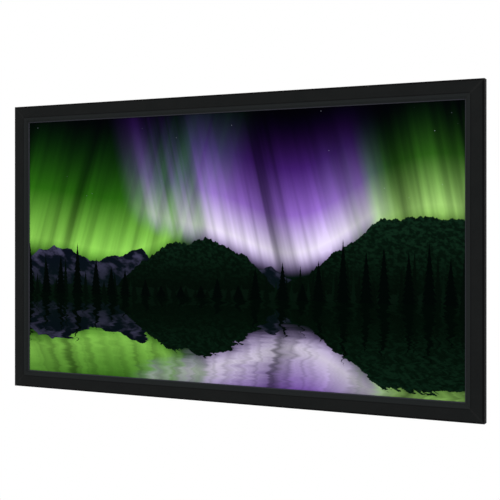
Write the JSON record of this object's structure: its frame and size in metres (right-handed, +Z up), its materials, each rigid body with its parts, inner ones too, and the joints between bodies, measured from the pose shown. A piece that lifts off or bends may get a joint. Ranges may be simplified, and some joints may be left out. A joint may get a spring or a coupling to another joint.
{
  "type": "fixed frame projector screen",
  "caption": "Wall-hung fixed frame projection screen: a mitred, velvet-wrapped aluminium frame with a bevelled face and a vinyl cloth snapped on behind.",
  "frame": {"origin": "the point of the wall plane behind the middle of the screen", "axes": "+X to the viewer's right along the long side, +Y into the wall, +Z up; the picture faces -Y"},
  "size_m": [2.1844, 0.041, 1.2954],
  "materials": {
    "velvet": "matte flocked velvet",
    "aluminium": "mill finish extrusion",
    "vinyl": "matte projection surface",
    "webbing": "woven nylon",
    "zinc": "bright zinc plate",
    "black_steel": "black powder coat"
  },
  "bodies": {
    "root": {"bottom_edge_binding": "webbing", "bottom_rail": "aluminium", "bottom_velvet_wrap": "velvet", "brace_plate_bottom": "zinc", "brace_plate_top": "zinc", "brace_screw_bottom_1": "zinc", "brace_screw_bottom_2": "zinc", "brace_screw_bottom_3": "zinc", "brace_screw_bottom_4": "zinc", "brace_screw_top_1": "zinc", "brace_screw_top_2": "zinc", "brace_screw_top_3": "zinc", "brace_screw_top_4": "zinc", "centre_brace": "aluminium", "corner_key_bottom_left": "zinc", "corner_key_bottom_right": "zinc", "corner_key_top_left": "zinc", "corner_key_top_right": "zinc", "key_screw_bottom_left_1": "black_steel", "key_screw_bottom_left_2": "black_steel", "key_screw_bottom_left_3": "black_steel", "key_screw_bottom_left_4": "black_steel", "key_screw_bottom_right_1": "black_steel", "key_screw_bottom_right_2": "black_steel", "key_screw_bottom_right_3": "black_steel", "key_screw_bottom_right_4": "black_steel", "key_screw_top_left_1": "black_steel", "key_screw_top_left_2": "black_steel", "key_screw_top_left_3": "black_steel", "key_screw_top_left_4": "black_steel", "key_screw_top_right_1": "black_steel", "key_screw_top_right_2": "black_steel", "key_screw_top_right_3": "black_steel", "key_screw_top_right_4": "black_steel", "left_edge_binding": "webbing", "left_rail": "aluminium", "left_velvet_wrap": "velvet", "right_edge_binding": "webbing", "right_rail": "aluminium", "right_velvet_wrap": "velvet", "screen_cloth": "vinyl", "top_edge_binding": "webbing", "top_rail": "aluminium", "top_velvet_wrap": "velvet", "wall_bracket_lower_left": "black_steel", "wall_bracket_lower_right": "black_steel", "wall_bracket_upper_left": "black_steel", "wall_bracket_upper_right": "black_steel"}
  },
  "joints": []
}
